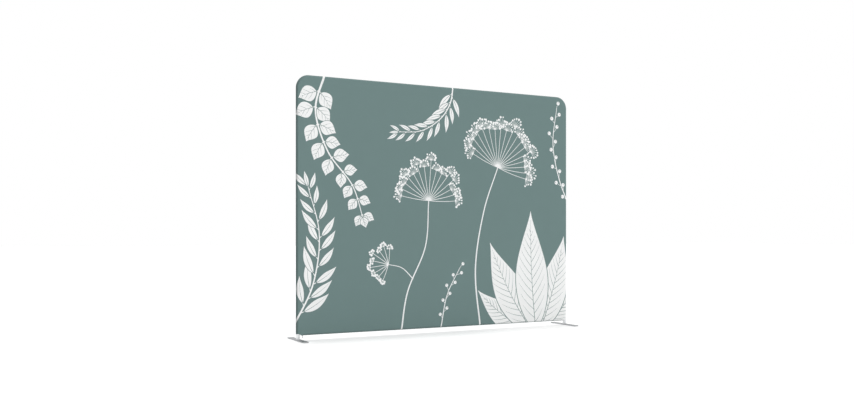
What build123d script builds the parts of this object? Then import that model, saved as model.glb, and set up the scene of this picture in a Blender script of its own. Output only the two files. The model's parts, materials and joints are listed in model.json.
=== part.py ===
"""Fabric room divider: a printed stretch-fabric sleeve zipped over a plug-together tube frame on two flat feet.

The wall stands along X and is seen from the front, which is -Y. Z is up, and the origin is on the floor under the
middle of the wall. Sizes are in millimetres.
"""

from build123d import *

import os
from math import asin, cos, degrees, radians, sin, sqrt

# Overall size of the wall
wall_width = 2500.0  # outside of the fabric, side to side
wall_height = 2000.0  # floor to the top of the fabric
sleeve_bottom = 40.0  # floor to the underside of the fabric

# Frame tubes
tube_diameter = 30.0
tube_wall = 1.5
bend_radius = 85.0  # top corners, to the tube's centre line
corner_leg = 150.0  # corner tube, from its bend to the top rail
upright_joint_height = 1000.0  # floor to where the corner tube sits on the lower upright
stub_gap = 0.5  # bottom rail's end to the upright

# Drawn-down tube ends that plug into the next tube
plug_length = 60.0
plug_shoulder = 3.0
plug_clearance = 0.1
bore_bend_steps = 5  # straight steps in which a bent tube's bore follows its bend, which keeps its facets few

# Snap buttons and their leaf springs
button_diameter = 7.6
button_hole_clearance = 0.25
button_proud = 2.5  # how far a button stands out of the tube
button_edge = 0.8
leaf_thickness = 0.8
leaf_width = 8.0
leaf_wall_gap = 0.1  # leaf's edges to the plug's bore
leaf_setback = 2.5  # closed end of the spring, from the plug's shoulder
leaf_slope = 26.0
leaf_flat = 13.0  # flat end of a leaf, with the button in its middle
leaf_nose = 5.2  # height of the closed end
button_sides = 12
button_hole_sides = 8

# Fabric sleeve
fabric_thickness = 0.6
rim_step = 30.0  # turn between the flats in which the rim goes round a tube
fabric_gap = 0.2  # fabric to tube
closure_slack = 3.0  # how far the closed sleeve hangs below the bottom rail, which is the slider's room
post_opening_rise = 14.0  # the hem at each post is cut up by this much
hem_angle = 26.0  # where the fabric ends and the zip tape begins, from straight down

# Zip under the bottom rail
zip_end_inset = 40.0  # from the wall's side to the zip's end
zip_slit = 1.0  # between the two rows of teeth
zip_chain_width = 6.0
zip_chain_height = 2.2
zip_stop_length = 4.0

# Zip slider and its pull
slider_length = 14.0
slider_wall = 1.2
slider_gap = 0.3  # to the teeth and to the tapes
slider_side_gap = 0.4
slider_corner = 2.0
slider_inner_width = 7.0
slider_web_gap = 0.15  # the web's sides to the teeth
slider_rest_gap = 1.0  # to the end stop
bail_half_length = 4.2
bail_width = 2.4
bail_window_height = 2.4
bail_bar = 1.2
pull_length = 20.0
pull_width = 6.8
pull_thickness = 1.4
pull_bar_diameter = 1.6
pull_eye_gap = 0.4  # eye to bail, on each side
pull_eye_room = 1.2  # eye's far end to the bail when the pull is swung up
pull_rest_gap = 0.1
pull_corner = 2.0

# Feet
foot_length = 350.0
foot_width = 50.0
foot_thickness = 6.0
foot_corner_radius = 6.0
pad_length = 40.0
pad_thickness = 2.0
pad_inset = 5.0  # from the foot's edges

# Screw that holds each foot, and the threaded plug in the upright's end
bolt_diameter = 8.0
bolt_head_diameter = 16.0
bolt_length = 30.0  # overall, head included
bolt_socket_width = 5.0  # across flats
bolt_socket_depth = 3.0
bolt_clearance = 0.2  # foot to screw, so that the foot can turn
thread_clearance = 0.05
end_plug_length = 32.0

# Places worked out from the sizes above
tube_radius = tube_diameter / 2
tube_bore = tube_radius - tube_wall
plug_radius = tube_bore - plug_clearance
plug_bore = plug_radius - tube_wall
fabric_inner = tube_radius + fabric_gap
fabric_outer = fabric_inner + fabric_thickness

upright_x = wall_width / 2 - fabric_outer
top_rail_z = wall_height - fabric_outer
bend_start_z = top_rail_z - bend_radius
bend_end_x = upright_x - bend_radius
corner_end_x = bend_end_x - corner_leg
closure_z = sleeve_bottom + fabric_outer
bottom_rail_z = closure_z + closure_slack
rail_end_x = upright_x - tube_radius - stub_gap
opening_z = sleeve_bottom + post_opening_rise
zip_half_length = wall_width / 2 - zip_end_inset

button_setback = leaf_setback + leaf_slope + leaf_flat / 2
button_radius = button_diameter / 2
button_top = tube_radius + button_proud
leaf_top = sqrt(plug_bore**2 - (leaf_width / 2) ** 2) - leaf_wall_gap

foot_bottom = pad_thickness
foot_top = foot_bottom + foot_thickness
bolt_radius = bolt_diameter / 2
bolt_cone_depth = (bolt_head_diameter - bolt_diameter) / 2

slider_x = slider_length / 2 + slider_rest_gap + zip_stop_length - zip_half_length
channel_floor = sleeve_bottom - zip_chain_height - slider_gap
slider_underside = channel_floor - slider_wall
pull_axis_z = slider_underside - bail_window_height + pull_bar_diameter / 2 + pull_rest_gap

FRONT, BACK = -1, 1
LEFT, RIGHT = -1, 1
UP, DOWN, TO_RIGHT, TO_LEFT = (0, 0, 1), (0, 0, -1), (1, 0, 0), (-1, 0, 0)
BASED = (Align.CENTER, Align.CENTER, Align.MIN)  # standing on its lower face


def ring(outer, inner):
    """Flat ring, as a tube's section."""
    return Circle(outer) - Circle(inner)


def ring_sector(outer, inner, start, sweep_angle):
    """Part of a ring from one angle on, in degrees."""
    outside = CenterArc((0, 0), outer, start, sweep_angle)
    inside = CenterArc((0, 0), inner, start, sweep_angle)
    return make_face([outside, Line(outside @ 1, inside @ 1), inside, Line(inside @ 0, outside @ 0)])


def rim_section(side):
    """Section of half the sleeve's rim: a quarter turn round the tube in flats that touch the rounded fabric."""
    def flats(radius):
        reach = radius / cos(radians(rim_step / 2))
        turns = [rim_step * (step + 0.5) for step in range(int(90 / rim_step))]
        corners = [(-reach * cos(radians(turn)), side * reach * sin(radians(turn))) for turn in turns]
        return [(-radius, 0), *corners, (0, side * radius)]

    return make_face(Polyline(*flats(fabric_outer), *reversed(flats(fabric_inner)), close=True))


def turned(*points):
    """Solid turned about the Z axis from its half profile, as (radius, height) points."""
    return revolve(Plane.XZ * make_face(Polyline(*points, close=True)), Axis.Z)


def place(frame, piece):
    """Moves a piece from a local frame to the wall."""
    return frame.location * piece


def pair(name, piece):
    """The left-hand piece and its mirror image on the right, by node name."""
    return {name + "_left": piece, name + "_right": mirror(piece, about=Plane.YZ)}


def plain_tube(start, end):
    """Tube between two points."""
    axis = Vector(*end) - Vector(*start)
    return extrude(Plane(origin=start, z_dir=axis) * ring(tube_radius, tube_bore), axis.length)


def plug_tube(start, end):
    """Tube between two points, drawn down past its far end to plug into the next one."""
    axis = Vector(*end) - Vector(*start)
    shoulder = axis.length - plug_shoulder
    tip = axis.length + plug_length
    body = turned(
        (tube_bore, 0), (tube_radius, 0), (tube_radius, shoulder), (plug_radius, axis.length), (plug_radius, tip),
        (plug_bore, tip), (plug_bore, axis.length), (tube_bore, shoulder),
    )  # fmt: skip
    return place(Plane(origin=start, z_dir=axis), body)


def joint_frame(shoulder, towards, button_side):
    """Frame of a tube joint: x along the plug from its shoulder, z out through the snap button."""
    return Plane(origin=shoulder, x_dir=towards, z_dir=button_side)


def tube_joints():
    """Every joint between tubes: its name and its frame, with the buttons on the frame's inner side."""
    return {
        "upright_left": joint_frame((-upright_x, 0, upright_joint_height), UP, TO_RIGHT),
        "upright_right": joint_frame((upright_x, 0, upright_joint_height), UP, TO_LEFT),
        "top_rail_left": joint_frame((-corner_end_x, 0, top_rail_z), TO_RIGHT, DOWN),
        "top_rail_right": joint_frame((corner_end_x, 0, top_rail_z), TO_LEFT, DOWN),
        "top_rail_middle": joint_frame((0, 0, top_rail_z), TO_RIGHT, DOWN),
        "bottom_rail_left": joint_frame((-rail_end_x, 0, bottom_rail_z), TO_RIGHT, UP),
        "bottom_rail_right": joint_frame((rail_end_x, 0, bottom_rail_z), TO_LEFT, UP),
        "bottom_rail_middle": joint_frame((0, 0, bottom_rail_z), TO_RIGHT, UP),
    }


def button_hole(joint):
    """Cutter for the snap button's hole in the tube that goes over a joint's plug, round in flats like the button."""
    outline = RegularPolygon(button_radius + button_hole_clearance, button_hole_sides, major_radius=False)
    drill = extrude(outline, button_top)
    return place(tube_joints()[joint], Pos(button_setback, 0, 0) * drill)


def plug_window(joint):
    """Cutter for the square window in a joint's plug, under the button's hole."""
    side = 2 * (button_radius + button_hole_clearance)
    return place(tube_joints()[joint], Pos(button_setback, 0, 0) * Box(side, side, button_top, align=BASED))


def leaf_spring():
    """V-shaped leaf that pushes a snap button out, in a joint's frame."""
    height = leaf_top - leaf_thickness / 2
    tip = button_setback + leaf_flat / 2
    knee = button_setback - leaf_flat / 2
    route = Polyline(
        (tip, height), (knee, height), (leaf_setback, leaf_nose / 2),
        (leaf_setback, -leaf_nose / 2), (knee, -height), (tip, -height),
    )  # fmt: skip
    return extrude(Plane.XZ * trace(route, leaf_thickness), leaf_width / 2, both=True)


def snap_button():
    """Button that stands on the leaf, in a joint's frame. Its round side is in flats, because it is repeated."""
    body = extrude(RegularPolygon(button_radius, button_sides), button_top - leaf_top)
    body = chamfer(body.faces().sort_by(Axis.Z)[-1].edges(), button_edge)
    return Pos(button_setback, 0, leaf_top) * body


def lower_upright():
    """Left lower upright, with its threaded end plug and the coped stub that is welded on for the bottom rail."""
    base = Pos(-upright_x, 0, foot_top)
    post = plug_tube((-upright_x, 0, foot_top), (-upright_x, 0, upright_joint_height))
    end_plug = extrude(ring(tube_bore, bolt_radius + thread_clearance), end_plug_length)
    start = Plane(origin=(-upright_x, 0, bottom_rail_z), z_dir=TO_RIGHT)
    stub = extrude(start * ring(plug_radius, plug_bore), tube_radius + stub_gap + plug_length)
    stub -= base * Cylinder(tube_bore, upright_joint_height, align=BASED)
    return post + base * end_plug + stub - plug_window("upright_left") - plug_window("bottom_rail_left")


def bend(section):
    """Turns a section at the start of the left top bend through the bend's quarter turn."""
    start = Plane(origin=(-upright_x, 0, bend_start_z))
    return revolve(start * section, Axis((-bend_end_x, 0, bend_start_z), (0, 1, 0)), 90)


def bend_bore():
    """Bore of the left top bend, in straight mitred steps."""
    centre_line = CenterArc((-bend_end_x, bend_start_z), bend_radius, 180, -90)
    stops = [centre_line @ (step / bore_bend_steps) for step in range(bore_bend_steps + 1)]
    route = Polyline(*[(stop.X, 0, stop.Y) for stop in stops])
    start = Plane(origin=(-upright_x, 0, bend_start_z), z_dir=route % 0)
    return sweep(start * Circle(tube_bore), route, transition=Transition.RIGHT)


def corner_tube():
    """Left corner tube: the upper part of the upright, bent over into the start of the top rail."""
    leg = plain_tube((-upright_x, 0, upright_joint_height), (-upright_x, 0, bend_start_z))
    arm = plug_tube((-bend_end_x, 0, top_rail_z), (-corner_end_x, 0, top_rail_z))
    tube = leg + (bend(Circle(tube_radius)) - bend_bore()) + arm
    return tube - button_hole("upright_left") - plug_window("top_rail_left")


def rails():
    """Top and bottom rails, each in two lengths that plug together in the middle."""
    top, bottom = top_rail_z, bottom_rail_z
    top_left = plug_tube((-corner_end_x, 0, top), (0, 0, top))
    top_right = plain_tube((0, 0, top), (corner_end_x, 0, top))
    bottom_left = plug_tube((-rail_end_x, 0, bottom), (0, 0, bottom))
    bottom_right = plain_tube((0, 0, bottom), (rail_end_x, 0, bottom))
    return {
        "top_rail_left": top_left - button_hole("top_rail_left") - plug_window("top_rail_middle"),
        "top_rail_right": top_right - button_hole("top_rail_right") - button_hole("top_rail_middle"),
        "bottom_rail_left": bottom_left - button_hole("bottom_rail_left") - plug_window("bottom_rail_middle"),
        "bottom_rail_right": bottom_right - button_hole("bottom_rail_right") - button_hole("bottom_rail_middle"),
    }


def clips():
    """A leaf spring and a snap button in every joint."""
    pieces = {}
    for name, frame in tube_joints().items():
        pieces["clip_spring_" + name] = place(frame, leaf_spring())
        pieces["snap_button_" + name] = place(frame, snap_button())
    return pieces


def foot_plate():
    """Flat bar under the left upright, countersunk from below for the screw."""
    plate = extrude(RectangleRounded(foot_width, foot_length, foot_corner_radius), foot_thickness)
    hole = Cylinder(bolt_radius + bolt_clearance, foot_thickness, align=BASED)
    sink = Cone(
        bolt_head_diameter / 2 + bolt_clearance, bolt_radius + bolt_clearance, bolt_cone_depth, align=BASED
    )
    return Pos(-upright_x, 0, foot_bottom) * (plate - hole - sink)


def foot_bolts():
    """Countersunk socket screws up through both feet into the uprights."""
    head = bolt_head_diameter / 2
    screw = turned((0, 0), (head, 0), (bolt_radius, bolt_cone_depth), (bolt_radius, bolt_length), (0, bolt_length))
    screw -= extrude(RegularPolygon(bolt_socket_width / 2, 6, major_radius=False), bolt_socket_depth)
    return Compound(children=[Pos(x, 0, foot_bottom) * screw for x in (-upright_x, upright_x)])


def foot_pads(side):
    """Two soft pads under one foot, one at each end."""
    reach = foot_length / 2 - pad_inset - pad_length / 2
    pad = Box(foot_width - 2 * pad_inset, pad_length, pad_thickness, align=BASED)
    return Compound(children=[Pos(side * upright_x, y, 0) * pad for y in (-reach, reach)])


def sleeve_face():
    """Outline of the sleeve's flat face, with its lower corners cut up to clear the posts."""
    over_the_top = FilletPolyline(
        (-upright_x, opening_z), (-upright_x, top_rail_z), (upright_x, top_rail_z), (upright_x, opening_z),
        radius=bend_radius,
    )  # fmt: skip
    along_the_hem = Polyline(
        (upright_x, opening_z), (zip_half_length, sleeve_bottom), (zip_half_length, closure_z),
        (-zip_half_length, closure_z), (-zip_half_length, sleeve_bottom), (-upright_x, opening_z),
    )  # fmt: skip
    return make_face([over_the_top, along_the_hem])


def sleeve_half(side):
    """Front or back of the sleeve: a flat face, a rim round the tubes and the turn under the bottom rail."""
    flat_back = Plane.XZ.offset(fabric_inner if side == FRONT else -fabric_outer)
    skin = extrude(flat_back * sleeve_face(), fabric_thickness)

    quarter = rim_section(side)
    left_rim = extrude(Plane(origin=(-upright_x, 0, opening_z)) * quarter, bend_start_z - opening_z)
    left_rim += bend(quarter)
    top_start = Plane(origin=(-bend_end_x, 0, top_rail_z), x_dir=DOWN, z_dir=TO_RIGHT)
    skin += left_rim + mirror(left_rim, about=Plane.YZ) + extrude(top_start * quarter, 2 * bend_end_x)

    turn = ring_sector(fabric_outer, fabric_inner, -90 + side * hem_angle, side * (90 - hem_angle))
    return skin + extrude(closure_start() * turn, 2 * zip_half_length)


def closure_start():
    """Section plane at the zip's left end: x to the back, y up, on the axis that the sleeve's underside bends round."""
    return Plane(origin=(-zip_half_length, 0, closure_z), x_dir=(0, 1, 0), z_dir=TO_RIGHT)


def zip_tape(side):
    """Tape that continues the sleeve's underside from its hem to the slit between the teeth."""
    slit_angle = degrees(asin(zip_slit / 2 / fabric_inner))
    strip = ring_sector(fabric_outer, fabric_inner, -90 + side * slit_angle, side * (hem_angle - slit_angle))
    return extrude(closure_start() * strip, 2 * zip_half_length)


def zip_teeth(side):
    """One row of teeth along its tape, as a plain bar."""
    width = (zip_chain_width - zip_slit) / 2
    length = 2 * (zip_half_length - zip_stop_length)
    y = side * (zip_slit + width) / 2
    return Pos(0, y, sleeve_bottom - zip_chain_height / 2) * Box(length, width, zip_chain_height)


def zip_end_stops():
    """Metal stop clamped over both tapes at each end of the zip."""
    x = zip_half_length - zip_stop_length / 2
    stop = Box(zip_stop_length, zip_chain_width, zip_chain_height)
    z = sleeve_bottom - zip_chain_height / 2
    return Compound(children=[Pos(side * x, 0, z) * stop for side in (LEFT, RIGHT)])


def slider_wing(width):
    """One wing of the slider, with its corners cut off."""
    wing = Box(slider_length, width, slider_wall, align=BASED)
    return chamfer(wing.edges().filter_by(Axis.Z), slider_corner)


def zip_slider():
    """Slider: a wing outside the teeth, a wing inside the sleeve, the web between them, and the pull's bail."""
    half_channel = zip_chain_width / 2 + slider_side_gap
    width = 2 * (half_channel + slider_wall)
    body = Pos(0, 0, slider_underside) * slider_wing(width)
    flange = Box(
        slider_length - 2 * slider_corner, slider_wall, sleeve_bottom - slider_gap - channel_floor, align=BASED
    )
    for side in (FRONT, BACK):
        body += Pos(0, side * (half_channel + slider_wall / 2), channel_floor) * flange

    inner_bottom = closure_z - sqrt(fabric_inner**2 - (slider_inner_width / 2) ** 2) + slider_gap
    web = Box(slider_length / 2, zip_slit - 2 * slider_web_gap, inner_bottom - channel_floor, align=BASED)
    body += Pos(0, 0, inner_bottom) * slider_wing(slider_inner_width) + Pos(0, 0, channel_floor) * web

    bail_height = bail_window_height + bail_bar
    window = Box(2 * (bail_half_length - bail_bar), bail_width, bail_window_height)
    bail = Box(2 * bail_half_length, bail_width, bail_height) - Pos(0, 0, bail_bar / 2) * window
    bail = chamfer(bail.edges().filter_by(Axis.Y).group_by(Axis.Z)[0], bail_bar)
    return Pos(slider_x, 0, 0) * (body + Pos(0, 0, slider_underside - bail_height / 2) * bail)


def zip_pull():
    """Flat pull that hangs from the slider's bail by its crossbar."""
    eye_length = bail_half_length + pull_eye_room
    blade = Pos(0, 0, -pull_length / 2) * Box(pull_thickness, pull_width, pull_length)
    blade = chamfer(blade.edges().filter_by(Axis.X).group_by(Axis.Z)[0], pull_corner)
    eye = Pos(0, 0, -eye_length / 2) * Box(pull_thickness, bail_width + 2 * pull_eye_gap, eye_length)
    bar = Rot(90, 0, 0) * Cylinder(pull_bar_diameter / 2, pull_width)
    return Pos(slider_x, 0, pull_axis_z) * (blade - eye + bar)


pieces = pair("lower_upright", lower_upright()) | pair("corner_tube", corner_tube()) | rails() | clips()
pieces |= pair("foot_plate", foot_plate()) | {
    "foot_pads_left": foot_pads(LEFT),
    "foot_pads_right": foot_pads(RIGHT),
    "foot_bolts": foot_bolts(),
    "sleeve_front": sleeve_half(FRONT),
    "sleeve_back": sleeve_half(BACK),
    "zip_tape_front": zip_tape(FRONT),
    "zip_tape_back": zip_tape(BACK),
    "zip_teeth_front": zip_teeth(FRONT),
    "zip_teeth_back": zip_teeth(BACK),
    "zip_end_stops": zip_end_stops(),
    "zip_slider": zip_slider(),
    "zip_pull": zip_pull(),
}

os.makedirs("parts", exist_ok=True)
for node, shape in pieces.items():
    export_step(shape, f"parts/{node}.step")
    print(node, len(shape.solids()), round(shape.volume), [round(v, 1) for v in shape.bounding_box().size])
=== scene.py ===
"""Dresses the packed room divider: the printed sleeve, the zip under it, the posts, the feet and the stage.

Lengths are in metres in the model's own frame: the wall stands along X, its front faces -Y, the floor is at 0.
"""

import json
import math
import random

import bmesh
import bpy
import numpy as np
from bpy.props import FloatProperty, FloatVectorProperty, IntProperty, PointerProperty
from mathutils import Matrix, Vector
from mathutils.geometry import delaunay_2d_cdt


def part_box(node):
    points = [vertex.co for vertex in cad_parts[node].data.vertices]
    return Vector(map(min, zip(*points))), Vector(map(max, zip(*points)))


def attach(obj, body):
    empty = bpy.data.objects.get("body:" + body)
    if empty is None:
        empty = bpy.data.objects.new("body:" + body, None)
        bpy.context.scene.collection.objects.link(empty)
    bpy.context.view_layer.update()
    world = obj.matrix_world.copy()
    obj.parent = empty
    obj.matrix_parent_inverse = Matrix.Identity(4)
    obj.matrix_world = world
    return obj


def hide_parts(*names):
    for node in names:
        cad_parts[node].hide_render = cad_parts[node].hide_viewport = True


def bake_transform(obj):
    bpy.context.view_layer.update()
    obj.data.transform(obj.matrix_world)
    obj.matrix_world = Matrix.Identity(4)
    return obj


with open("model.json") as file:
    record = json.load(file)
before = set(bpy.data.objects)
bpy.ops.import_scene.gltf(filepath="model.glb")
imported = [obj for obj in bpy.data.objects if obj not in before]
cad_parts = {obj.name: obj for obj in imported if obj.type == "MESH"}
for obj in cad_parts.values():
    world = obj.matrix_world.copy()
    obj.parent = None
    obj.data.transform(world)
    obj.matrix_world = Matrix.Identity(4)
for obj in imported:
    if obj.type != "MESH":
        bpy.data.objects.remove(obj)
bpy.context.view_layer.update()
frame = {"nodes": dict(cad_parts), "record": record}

bl_info = {
    "name": "Fabric room divider",
    "version": (1, 0, 0),
    "blender": (4, 5, 0),
    "location": "3D View > Sidebar > Divider",
    "description": "Builds the printed sleeve, zip, posts and feet of a fabric room divider, and its stage",
    "category": "Object",
}

# Places that are read from the model
post_low, post_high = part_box("lower_upright_left")
rail_low, rail_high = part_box("bottom_rail_left")
spring_low, spring_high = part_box("clip_spring_top_rail_middle")
stops_low, stops_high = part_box("zip_end_stops")
slider_low, slider_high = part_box("zip_slider")
pull_low, pull_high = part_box("zip_pull")
plate_low, plate_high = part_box("foot_plate_left")
pads_low, pads_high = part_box("foot_pads_left")
screws_low, screws_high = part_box("foot_bolts")

TUBE_RADIUS = post_high.y
TUBE_WALL = 0.0015
PLUG_RADIUS = 0.0134  # of the tubes' drawn-down ends
POST_X = -(post_low.x + TUBE_RADIUS)
TOP_RAIL_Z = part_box("top_rail_left")[1].z - TUBE_RADIUS
BOTTOM_RAIL_Z = (rail_low.z + rail_high.z) / 2
BEND_RADIUS = 0.085  # of the top corners, at the tubes' middle

SLEEVE_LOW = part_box("sleeve_front")[0]
CLOTH_OUTSIDE = -SLEEVE_LOW.y  # radius of the cloth's outer face round a tube
CLOTH_MIDDLE = CLOTH_OUTSIDE - 0.0003
HEM_BEND_Z = SLEEVE_LOW.z + CLOTH_OUTSIDE  # height of the line that the sleeve's underside bends round
HEM_Z = HEM_BEND_Z - math.radians(64) * CLOTH_MIDDLE  # lowest edge of the flat cloth, along the zip's tape
OPENING_Z = 0.05  # height of the sleeve's edge at the posts
ZIP_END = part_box("zip_tape_front")[1].x
HEM_END = ZIP_END - 0.004  # where the edge starts to rise to the opening
TEETH_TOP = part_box("zip_teeth_front")[1].z

SIDES = {"front": -1, "back": 1}
HANDS = {"left": -1, "right": 1}


def size_property(name, description, default, low, high):
    """Setting for a length."""
    return FloatProperty(name=name, description=description, default=default, min=low, max=high, unit="LENGTH")


def colour_property(name, description, default):
    """Setting for a colour."""
    return FloatVectorProperty(
        name=name, description=description, default=default, min=0, max=1, size=3, subtype="COLOR"
    )


def strength_property(name, description, default):
    """Setting for the strength of a light."""
    return FloatProperty(name=name, description=description, default=default, min=0, max=5)


class ClothSettings(bpy.types.PropertyGroup):
    """Sizes and colours of the printed cloth."""

    thickness: size_property("Thickness", "Thickness of the knitted cloth", 0.0006, 0.0002, 0.001)
    cell: size_property("Mesh cell", "Spacing of the cloth's mesh away from its edges", 0.025, 0.01, 0.05)
    ripple: size_property("Ripple", "Height of the pull marks at the zip and corners", 0.0009, 0, 0.004)
    knit: size_property("Knit", "Distance between two ribs of the knit", 0.0013, 0.0004, 0.004)
    ground: colour_property("Ground", "Colour of the print's ground", (0.153, 0.226, 0.22))
    ink: colour_property("Motifs", "Colour of the printed plants", (0.86, 0.868, 0.864))
    reverse: colour_property("Inside", "Colour of the cloth's unprinted side", (0.7, 0.72, 0.715))
    seed: IntProperty(
        name="Seed", description="Starts the small differences between the printed leaves", default=7, min=0
    )


class ZipSettings(bpy.types.PropertyGroup):
    """Sizes and colours of the zip."""

    pitch: size_property("Tooth pitch", "Distance from tooth to tooth", 0.0025, 0.0012, 0.005)
    stitch: size_property("Stitch", "Distance from stitch to stitch along the hem", 0.0036, 0.002, 0.008)
    tape: colour_property("Tape", "Colour of the zip's tapes", (0.14, 0.2, 0.19))
    teeth: colour_property("Teeth", "Colour of the moulded teeth", (0.13, 0.18, 0.175))
    metal: colour_property("Metal", "Colour of the slider, pull and stops", (0.3, 0.31, 0.32))


class FrameSettings(bpy.types.PropertyGroup):
    """Sizes and colours of the tube frame and its feet."""

    sides: IntProperty(name="Sides", description="Sides of a round post", default=72, min=24, max=128)
    plate_corner: size_property("Plate corner", "Corner radius of a foot plate", 0.006, 0.001, 0.02)
    plate_edge: size_property("Plate edge", "Rounding of a foot plate's edges", 0.0009, 0.0001, 0.002)
    tube: colour_property("Tube", "Colour of the anodised tube", (0.78, 0.79, 0.8))
    plate: colour_property("Feet", "Colour of the coated foot plates", (0.45, 0.46, 0.47))
    pad: colour_property("Pads", "Colour of the rubber pads", (0.03, 0.03, 0.03))
    screw: colour_property("Screws", "Colour of the zinc-plated screws", (0.55, 0.56, 0.58))
    spring: colour_property("Springs", "Colour of the leaf springs", (0.45, 0.45, 0.47))
    button: colour_property("Buttons", "Colour of the snap buttons", (0.75, 0.75, 0.77))


class StageSettings(bpy.types.PropertyGroup):
    """Camera, lamps and floor."""

    lens: FloatProperty(name="Lens", description="Focal length", default=37.13, min=10, max=200, unit="CAMERA")
    turn: FloatProperty(
        name="Turn", description="How far the camera is turned from the wall's own direction",
        default=math.radians(27.95), subtype="ANGLE",
    )  # fmt: skip
    sky: strength_property("Sky", "Strength of the light from all round", 0.3)
    key: strength_property("Key lamp", "Strength of the soft lamp on the front", 2.94)
    top: strength_property("Top lamp", "Strength of the soft lamp overhead", 1.5)
    fill: strength_property("Fill lamp", "Strength of the soft lamp on the back", 1.3)
    floor: strength_property("Floor glow", "Light added to the floor where the camera sees it", 0.46)


SETTINGS = {
    "divider_cloth": ClothSettings,
    "divider_zip": ZipSettings,
    "divider_frame": FrameSettings,
    "divider_stage": StageSettings,
}


# The print's motifs, as outlines on the flat cloth


class Drawing:
    """The print's outlines, in the order in which they are laid over each other."""

    def __init__(self, seed):
        self.outlines = []
        self.chance = random.Random(seed)

    def lay(self, outline, inked=True):
        self.outlines.append((outline, inked))

    def vary(self, share):
        return 1 + share * self.chance.uniform(-1, 1)

    def stroke(self, line, thick, thin):
        """Drawn line that thins out towards its end."""
        self.lay(ribbon(line, lambda t: (thick + (thin - thick) * t) / 2))

    def spot(self, centre, radius, inked=True, sides=10):
        """Round spot."""
        first = self.chance.uniform(0, 2 * math.pi)
        turns = [first + 2 * math.pi * k / sides for k in range(sides)]
        self.lay([(centre[0] + radius * math.cos(t), centre[1] + radius * math.sin(t)) for t in turns], inked)

    def leaf(
        self, root, heading, length, width, turn=0.0, veins=0, fullness=0.85, rim=0.004, line=0.0026, steps=18
    ):  # fmt: skip
        """Leaf with its midrib, side veins and a thin rim round it left in the ground's colour."""
        rib, shape = curve(root, heading, length, turn, steps), blade(width, fullness)
        base = curve(root, heading + 180, rim, 0, 1)[-1]
        longer = curve(base, heading, length + 2 * rim, turn, steps)
        self.lay(ribbon(longer, blade(width + 2 * rim, fullness)), False)
        self.lay(ribbon(rib, shape))
        self.lay(ribbon(rib[: int(steps * 0.93) + 1], lambda t: line * (0.75 - 0.6 * t)), False)
        for side in (-1, 1):
            for k in range(veins):
                t = 0.06 + 0.8 * (k + 0.5 * (side > 0)) / veins
                i = min(int(t * steps), steps - 1)
                foot = between(rib[i], rib[i + 1], t * steps - i)
                lean = 52 - 16 * t
                span = 0.86 * shape(min(t + 0.1, 0.97)) * self.vary(0.08) / math.sin(math.radians(lean - 7))
                bits = 5 if span < 0.05 else 12
                vein = curve(foot, direction(rib, i) + side * lean, span, -side * 20, bits)
                self.lay(ribbon(vein, lambda s: line * (0.5 - 0.36 * s)), False)

    def branch(self, line, thick, thin, size, shape, lean, opposite=True, veins=0, turn=0.0, pairs=9):
        """Stem with leaves that get smaller towards its tip. Shape is a leaf's width over its length."""
        last = len(line) - 1
        self.stroke(line, thick, thin)
        for k in range(pairs):
            t = 0.12 + 0.85 * k / (pairs - 1)
            for side in (-1, 1):
                later = 0.0 if opposite or side < 0 else 0.42 / (pairs - 1)
                i = min(round((t + later) * last), last)
                length = size * (1 - 0.45 * t) * self.vary(0.1)
                heading = direction(line, i) + side * lean * self.vary(0.14)
                stalk = curve(line[i], heading, 0.14 * length, 0, 2)
                self.stroke(stalk, thin * 1.5, thin)
                self.leaf(stalk[-1], heading, length, length * shape, -side * turn, veins)
        self.leaf(line[-1], direction(line, last), size * 0.5, size * 0.5 * shape, 0, veins)

    def umbel(self, line, thick, rays, reach, florets, spread=196):
        """Flower head on a stem: rays that each end in a tuft of stalks with spots."""
        self.stroke(line, thick, thick * 0.6)
        up = direction(line, len(line) - 1)
        for k in range(rays):
            share = (k + 0.5) / rays - 0.5
            length = reach * (0.78 + 0.3 * math.cos(share * math.pi)) * self.vary(0.14)
            ray = curve(line[-1], up + spread * share, length, -0.12 * spread * share, 5)
            self.stroke(ray, 0.005, 0.0036)
            for m in range(florets):
                fan = (m + 0.5) / florets - 0.5
                longest = 0.2 * reach * (0.72 + 0.35 * math.cos(fan * math.pi))
                stalk = curve(ray[-1], direction(ray, 5) + 180 * fan, longest * self.vary(0.2), 0, 2)
                self.stroke(stalk, 0.0031, 0.0024)
                self.spot(stalk[-1], 0.0085 * self.vary(0.25))

    def berries(self, line, thick, count, size):
        """Sprig with round berries on short stalks, each with a small crown."""
        last = len(line) - 1
        self.stroke(line, thick, thick * 0.5)
        for k in range(count):
            i = round((0.15 + 0.85 * k / (count - 1)) * last)
            side = -1 if k % 2 else 1
            heading = direction(line, i) + (side * 50 * self.vary(0.3) if k < count - 1 else 0)
            stalk = curve(line[i], heading, 3 * size * self.vary(0.25), -side * 25, 4)
            self.stroke(stalk, 0.0038, 0.003)
            self.spot(stalk[-1], size * 1.25, False, 14)
            self.spot(stalk[-1], size, True, 14)
            self.spot(curve(stalk[-1], heading, size * 0.45, 0, 1)[-1], size * 0.22, False, 7)


def between(a, b, share):
    """Point on the way from one point to another."""
    return tuple(p + (q - p) * share for p, q in zip(a, b))


def curve(root, heading, length, turn, steps):
    """Points along a line that sets out at a heading and turns evenly, in degrees."""
    points, step = [root], length / steps
    for i in range(steps):
        angle = math.radians(heading + turn * (i + 0.5) / steps)
        points.append((points[-1][0] + step * math.cos(angle), points[-1][1] + step * math.sin(angle)))
    return points


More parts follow.
